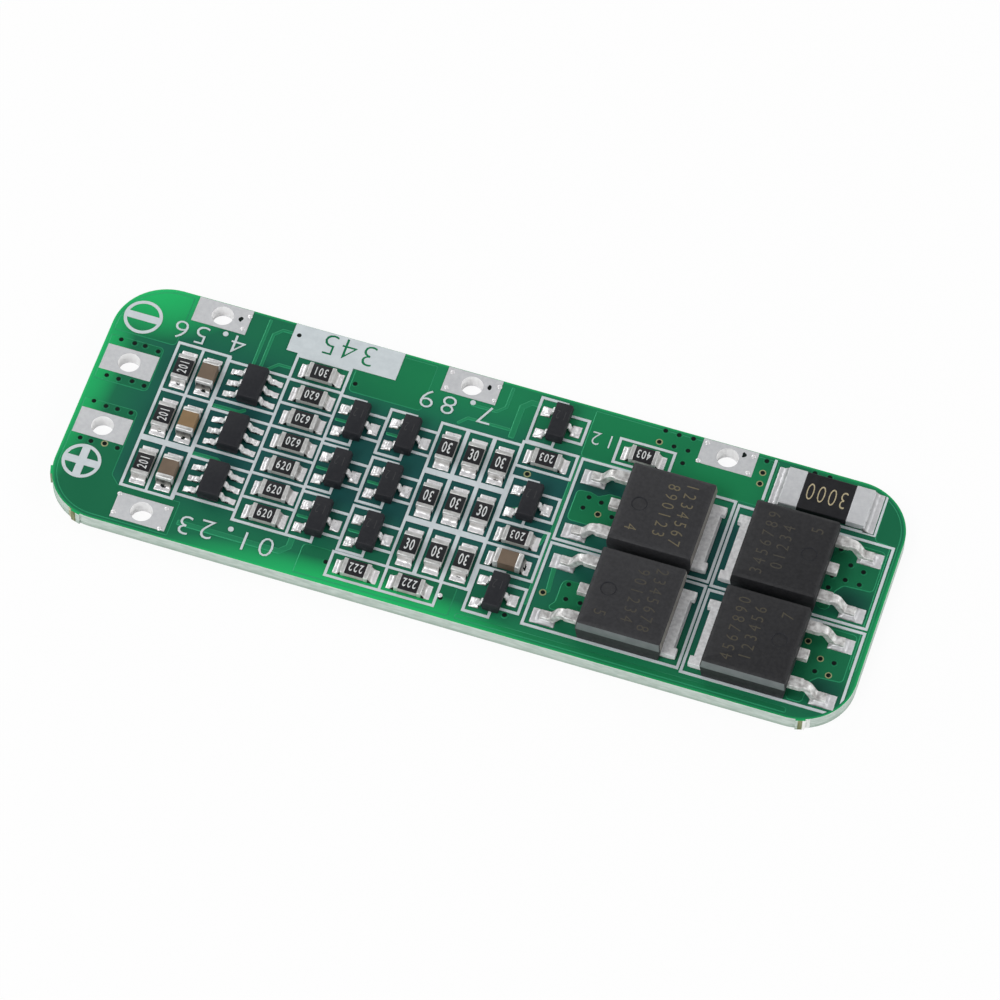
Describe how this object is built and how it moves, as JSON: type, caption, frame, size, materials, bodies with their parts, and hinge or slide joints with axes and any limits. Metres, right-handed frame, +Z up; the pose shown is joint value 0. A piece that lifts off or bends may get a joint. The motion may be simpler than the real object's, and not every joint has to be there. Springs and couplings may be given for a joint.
{
  "type": "battery charger module",
  "caption": "Long green circuit board with rounded corners for charging and protecting a small lithium cell pack: plated wire holes, small packages, chip resistors and tabbed power transistors.",
  "frame": {"origin": "centre of the board, on its flat underside", "axes": "+X along the board towards the power transistors, +Y towards the long edge with three tap terminals, +Z up through the side with the parts"},
  "size_m": [0.0587, 0.0201, 0.0035],
  "materials": {
    "laminate": "smooth green mask, pale sawn edges",
    "masked_copper": "lighter green where copper lies under the mask",
    "white_ink": "printed",
    "solder": "bright, uneven",
    "tinned_copper": "satin",
    "resistor_coat": "matte",
    "capacitor_ceramic": "matte",
    "moulding": "matte, as moulded",
    "lead_metal": "dull tin plating"
  },
  "bodies": {
    "root": {"terminal_minus": "tinned_copper", "terminal_plus": "tinned_copper", "tap_terminal_1": "tinned_copper", "tap_terminal_2": "tinned_copper", "tap_terminal_3": "tinned_copper", "tap_terminal_4": "tinned_copper", "filter_resistor_1": "resistor_coat", "filter_resistor_2": "resistor_coat", "filter_resistor_3": "resistor_coat", "divider_resistor_1": "resistor_coat", "divider_resistor_2": "resistor_coat", "divider_resistor_3": "resistor_coat", "divider_resistor_4": "resistor_coat", "divider_resistor_5": "resistor_coat", "divider_resistor_6": "resistor_coat", "input_resistor": "resistor_coat", "bleed_resistor_1": "resistor_coat", "bleed_resistor_2": "resistor_coat", "bleed_resistor_3": "resistor_coat", "bleed_resistor_4": "resistor_coat", "bleed_resistor_5": "resistor_coat", "bleed_resistor_6": "resistor_coat", "bleed_resistor_7": "resistor_coat", "bleed_resistor_8": "resistor_coat", "bleed_resistor_9": "resistor_coat", "pull_resistor_1": "resistor_coat", "pull_resistor_2": "resistor_coat", "timing_resistor_1": "resistor_coat", "timing_resistor_2": "resistor_coat", "start_resistor": "resistor_coat", "filter_capacitor_1": "capacitor_ceramic", "filter_capacitor_2": "capacitor_ceramic", "filter_capacitor_3": "capacitor_ceramic", "timing_capacitor": "capacitor_ceramic", "cell_monitor_1": "moulding", "cell_monitor_2": "moulding", "cell_monitor_3": "moulding", "signal_transistor_1": "moulding", "drive_transistor_1": "moulding", "signal_transistor_2": "moulding", "drive_transistor_2": "moulding", "signal_transistor_3": "moulding", "drive_transistor_3": "moulding", "switch_transistor_1": "moulding", "switch_transistor_2": "moulding", "switch_transistor_3": "moulding", "power_transistor_1": "moulding", "power_transistor_1_leadframe": "lead_metal", "power_transistor_2": "moulding", "power_transistor_2_leadframe": "lead_metal", "power_transistor_3": "moulding", "power_transistor_3_leadframe": "lead_metal", "power_transistor_4": "moulding", "power_transistor_4_leadframe": "lead_metal", "shunt_resistor": "resistor_coat", "solder_joints": "solder", "circuit_board": "laminate", "top_copper": "masked_copper", "printed_frames": "white_ink"}
  },
  "joints": []
}
